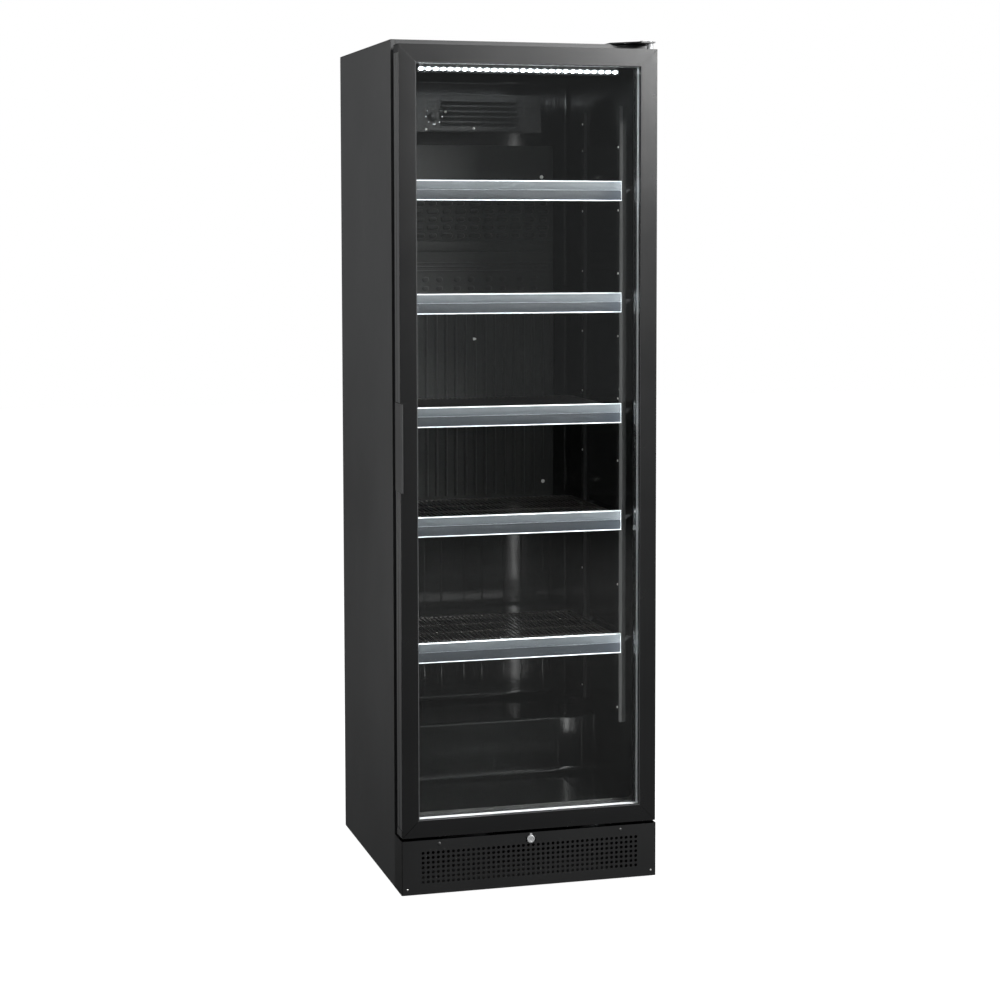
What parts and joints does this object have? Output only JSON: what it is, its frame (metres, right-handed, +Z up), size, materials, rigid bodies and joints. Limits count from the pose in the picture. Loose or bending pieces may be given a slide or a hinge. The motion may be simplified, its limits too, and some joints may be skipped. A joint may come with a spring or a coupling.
{
  "type": "glass door merchandiser",
  "caption": "Upright black refrigerated display cabinet with a hinged glass door, lift-off wire shelves, an evaporator with its fan, and a compressor room behind a perforated plinth.",
  "frame": {"origin": "on the floor under the middle of the bounding box", "axes": "+Z up, the door faces -Y, +X towards the hinges, to the right of someone facing the door"},
  "size_m": [0.595, 0.66, 1.9058],
  "materials": {
    "panel_paint": "satin black powder coat, fine orange peel",
    "liner_plastic": "glossy black moulded liner",
    "foam": "rigid insulation foam",
    "tray_steel": "galvanised steel sheet",
    "door_frame_paint": "satin black coated aluminium profile",
    "door_glass": "clear double glazing",
    "spacer_aluminium": "mill finish aluminium with punched holes",
    "seal_rubber": "matt black magnetic seal",
    "hinge_steel": "black coated steel plate",
    "chrome": "polished chrome",
    "pilaster_paint": "gloss black roll-formed steel",
    "shelf_wire": "black epoxy coated wire",
    "price_strip": "silver-blue label holder with a clear front",
    "led_light": "cool white light band",
    "evaporator_paint": "black coated aluminium",
    "machine_plastic": "dark grey moulded plastic",
    "motor_steel": "zinc plated steel",
    "compressor_paint": "gloss black enamel",
    "copper_pipe": "drawn copper tube",
    "foot_plastic": "black nylon glide"
  },
  "bodies": {
    "cabinet": {"side_panel_left": "panel_paint", "side_panel_right": "panel_paint", "top_panel": "panel_paint", "back_panel": "panel_paint", "front_frame": "panel_paint", "plinth_grille": "panel_paint", "rear_grille": "panel_paint", "inner_liner": "liner_plastic", "evaporator_fan_cover": "liner_plastic", "insulation_foam": "foam", "base_tray": "tray_steel", "drip_tray": "tray_steel", "led_channel": "spacer_aluminium", "top_hinge_bracket": "hinge_steel", "bottom_hinge_bracket": "hinge_steel", "top_hinge_pin": "chrome", "bottom_hinge_pin": "chrome", "lock_barrel": "chrome", "pilaster_front_left": "pilaster_paint", "pilaster_front_right": "pilaster_paint", "pilaster_rear_left": "pilaster_paint", "pilaster_rear_right": "pilaster_paint", "led_strip": "led_light", "evaporator_plate": "evaporator_paint", "condenser_coil": "evaporator_paint", "condenser_fan_shroud": "machine_plastic", "thermostat_body": "machine_plastic", "mains_inlet": "machine_plastic", "evaporator_fan_motor": "motor_steel", "condenser_fan_motor": "motor_steel", "compressor": "compressor_paint", "discharge_pipe": "copper_pipe", "suction_pipe": "copper_pipe"},
    "door": {"door_stile_left": "door_frame_paint", "door_stile_right": "door_frame_paint", "door_rail_top": "door_frame_paint", "door_rail_bottom": "door_frame_paint", "glass_outer": "door_glass", "glass_inner": "door_glass", "glass_spacer": "spacer_aluminium", "door_gasket": "seal_rubber", "handle": "door_frame_paint"},
    "lock": {"lock_plug": "chrome"},
    "thermostat_dial": {"thermostat_knob": "machine_plastic"},
    "evaporator_fan": {"evaporator_fan_blades": "machine_plastic"},
    "condenser_fan": {"condenser_fan_blades": "machine_plastic"},
    "shelf_1_set": {"shelf_1": "shelf_wire", "price_strip_1": "price_strip"},
    "shelf_2_set": {"shelf_2": "shelf_wire", "price_strip_2": "price_strip"},
    "shelf_3_set": {"shelf_3": "shelf_wire", "price_strip_3": "price_strip"},
    "shelf_4_set": {"shelf_4": "shelf_wire", "price_strip_4": "price_strip"},
    "shelf_5_set": {"shelf_5": "shelf_wire", "price_strip_5": "price_strip"},
    "foot_front_left_glide": {"foot_front_left": "foot_plastic"},
    "foot_front_right_glide": {"foot_front_right": "foot_plastic"},
    "foot_rear_left_glide": {"foot_rear_left": "foot_plastic"},
    "foot_rear_right_glide": {"foot_rear_right": "foot_plastic"}
  },
  "joints": [
    {"name": "door_swing", "type": "hinge", "parent": "cabinet", "child": "door", "pos_m": [0.287, -0.284, 1], "axis": [0, 0, 1], "range_deg": [0, 110]},
    {"name": "lock_turn", "type": "hinge", "parent": "cabinet", "child": "lock", "pos_m": [0, -0.31, 0.115], "axis": [0, -1, 0], "range_deg": [0, 90]},
    {"name": "dial_turn", "type": "hinge", "parent": "cabinet", "child": "thermostat_dial", "pos_m": [-0.0984, 0.19, 1.755], "axis": [0, 1, 0], "range_deg": [0, 270]},
    {"name": "evaporator_fan_spin", "type": "hinge", "parent": "cabinet", "child": "evaporator_fan", "pos_m": [0.02, 0.214, 1.762], "axis": [0, 1, 0], "continuous": true},
    {"name": "condenser_fan_spin", "type": "hinge", "parent": "cabinet", "child": "condenser_fan", "pos_m": [0.13, 0.1553, 0.1033], "axis": [0, 1, 0], "continuous": true},
    {"name": "shelf_1_lift", "type": "slide", "parent": "cabinet", "child": "shelf_1_set", "axis": [0, 0, 1], "range_m": [0, 0.03]},
    {"name": "shelf_2_lift", "type": "slide", "parent": "cabinet", "child": "shelf_2_set", "axis": [0, 0, 1], "range_m": [0, 0.03]},
    {"name": "shelf_3_lift", "type": "slide", "parent": "cabinet", "child": "shelf_3_set", "axis": [0, 0, 1], "range_m": [0, 0.03]},
    {"name": "shelf_4_lift", "type": "slide", "parent": "cabinet", "child": "shelf_4_set", "axis": [0, 0, 1], "range_m": [0, 0.03]},
    {"name": "shelf_5_lift", "type": "slide", "parent": "cabinet", "child": "shelf_5_set", "axis": [0, 0, 1], "range_m": [0, 0.03]},
    {"name": "foot_front_left_screw", "type": "slide", "parent": "cabinet", "child": "foot_front_left_glide", "axis": [0, 0, -1], "range_m": [0, 0.012]},
    {"name": "foot_front_right_screw", "type": "slide", "parent": "cabinet", "child": "foot_front_right_glide", "axis": [0, 0, -1], "range_m": [0, 0.012]},
    {"name": "foot_rear_left_screw", "type": "slide", "parent": "cabinet", "child": "foot_rear_left_glide", "axis": [0, 0, -1], "range_m": [0, 0.012]},
    {"name": "foot_rear_right_screw", "type": "slide", "parent": "cabinet", "child": "foot_rear_right_glide", "axis": [0, 0, -1], "range_m": [0, 0.012]}
  ]
}
